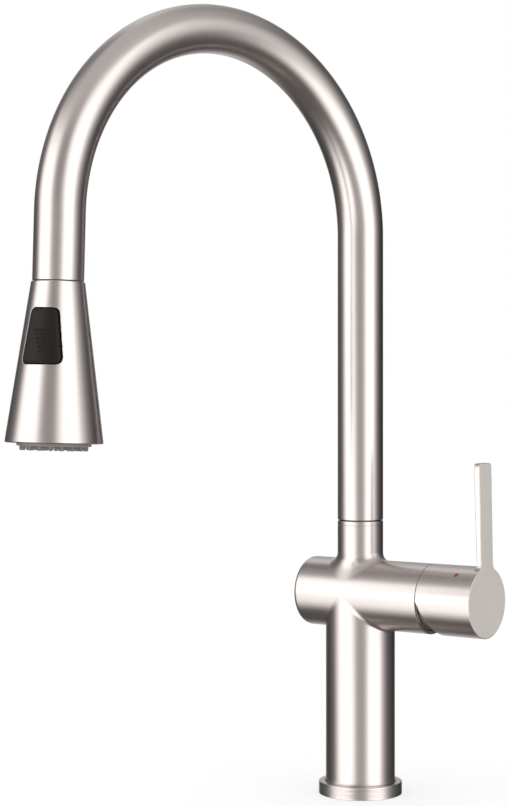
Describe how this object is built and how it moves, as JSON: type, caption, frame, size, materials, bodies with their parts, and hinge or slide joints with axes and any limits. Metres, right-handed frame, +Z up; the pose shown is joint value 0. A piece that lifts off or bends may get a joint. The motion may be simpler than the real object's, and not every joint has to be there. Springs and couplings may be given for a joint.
{
  "type": "pull-down kitchen faucet",
  "caption": "Gooseneck kitchen faucet with a pull-down spray head on a hose, a mode button and a single side lever over a cartridge valve, clamped in a deck hole.",
  "frame": {"origin": "on the column's axis at the underside of the base flange, in the middle of the deck hole", "axes": "+Z up along the column, +X towards the side lever along the cross body, the spout reaching towards -Y"},
  "size_m": [0.1605, 0.2832, 0.5279],
  "materials": {
    "nickel": "warm brushed nickel, fine brush lines round the tubes",
    "brass": "machined",
    "steel": "machined",
    "ceramic": "ground and polished",
    "rubber": "matte",
    "polymer": "satin",
    "white_polymer": "satin",
    "dark_polymer": "satin",
    "silicone": "matte",
    "button_rubber": "soft satin",
    "hose_braid": "woven nylon sleeve",
    "red_enamel": "gloss",
    "blue_enamel": "gloss"
  },
  "bodies": {
    "faucet_body": {"base_flange": "nickel", "base_gasket": "rubber", "mounting_shank": "brass", "clamp_gasket": "rubber", "clamp_washer": "steel", "mounting_nut": "brass", "body_shell": "nickel", "neck_bushing": "white_polymer", "swivel_washer": "rubber", "valve_seat": "brass", "seat_seal_hot": "rubber", "seat_seal_cold": "rubber", "seat_seal_mixed": "rubber", "cartridge_housing": "white_polymer", "cartridge_base": "dark_polymer", "fixed_ceramic_disc": "ceramic", "cartridge_nut": "steel", "bonnet_dome": "nickel"},
    "spout": {"spout_tube": "nickel", "spout_insert": "brass", "swivel_oring_lower": "rubber", "swivel_oring_upper": "rubber", "retaining_clip": "steel", "spray_hose": "hose_braid", "dock_collar": "dark_polymer"},
    "hose_end": {"spray_hose_end": "hose_braid", "hose_ferrule": "steel", "hose_nut": "brass"},
    "spray_head": {"spray_shell": "nickel", "dock_plug": "dark_polymer", "head_washer": "rubber", "inlet_filter": "steel", "check_valve": "white_polymer", "head_core": "polymer", "nozzle_plate": "polymer", "nozzle_mat": "silicone", "aerator": "dark_polymer", "face_ring": "dark_polymer", "button_pin": "steel"},
    "rocker": {"mode_button": "button_rubber"},
    "diverter": {"diverter_spool": "white_polymer"},
    "turret": {"cartridge_turret": "white_polymer", "stem_pin": "steel"},
    "mixing_disc": {"moving_ceramic_disc": "ceramic"},
    "lever": {"lever_handle": "nickel", "cartridge_stem": "brass", "handle_set_screw": "steel", "handle_screw_plug": "dark_polymer", "hot_index": "red_enamel", "cold_index": "blue_enamel"}
  },
  "joints": [
    {"name": "spout_swivel", "type": "hinge", "parent": "faucet_body", "child": "spout", "pos_m": [0, 0, 0.1675], "axis": [0, 0, 1], "continuous": true},
    {"name": "spray_pull", "type": "slide", "parent": "spout", "child": "hose_end", "axis": [-0.0059, -0.0308, -0.9995], "range_m": [0, 0.2], "stiffness_N_per_m": 10, "springref_m": -0.6},
    {"name": "head_turn", "type": "hinge", "parent": "hose_end", "child": "spray_head", "pos_m": [-0.04336, -0.22601, 0.30712], "axis": [-0.0059, -0.0308, -0.9995], "continuous": true},
    {"name": "button_rock", "type": "hinge", "parent": "spray_head", "child": "rocker", "pos_m": [-0.04004, -0.23842, 0.27716], "axis": [-0.9565, -0.2913, 0.0147], "range_deg": [-3, 3], "stiffness_Nm_per_rad": 0.2},
    {"name": "diverter_slide", "type": "slide", "parent": "spray_head", "child": "diverter", "axis": [-0.0059, -0.0308, -0.9995], "range_m": [-0.00025, 0.00025]},
    {"name": "lever_turn", "type": "hinge", "parent": "faucet_body", "child": "turret", "pos_m": [0.05275, 0, 0.1225], "axis": [1, 0, 0], "range_deg": [-45, 45]},
    {"name": "lever_tilt", "type": "hinge", "parent": "turret", "child": "lever", "pos_m": [0.05275, 0, 0.1225], "axis": [0, 1, 0], "range_deg": [0, 23]},
    {"name": "disc_slide", "type": "slide", "parent": "turret", "child": "mixing_disc", "axis": [0, 0, 1], "range_m": [0, 0.0036]}
  ],
  "couplings": [
    {"joint": "diverter_slide", "follows": "button_rock", "m_per_rad": 0.0041},
    {"joint": "disc_slide", "follows": "lever_tilt", "m_per_rad": 0.0088}
  ]
}
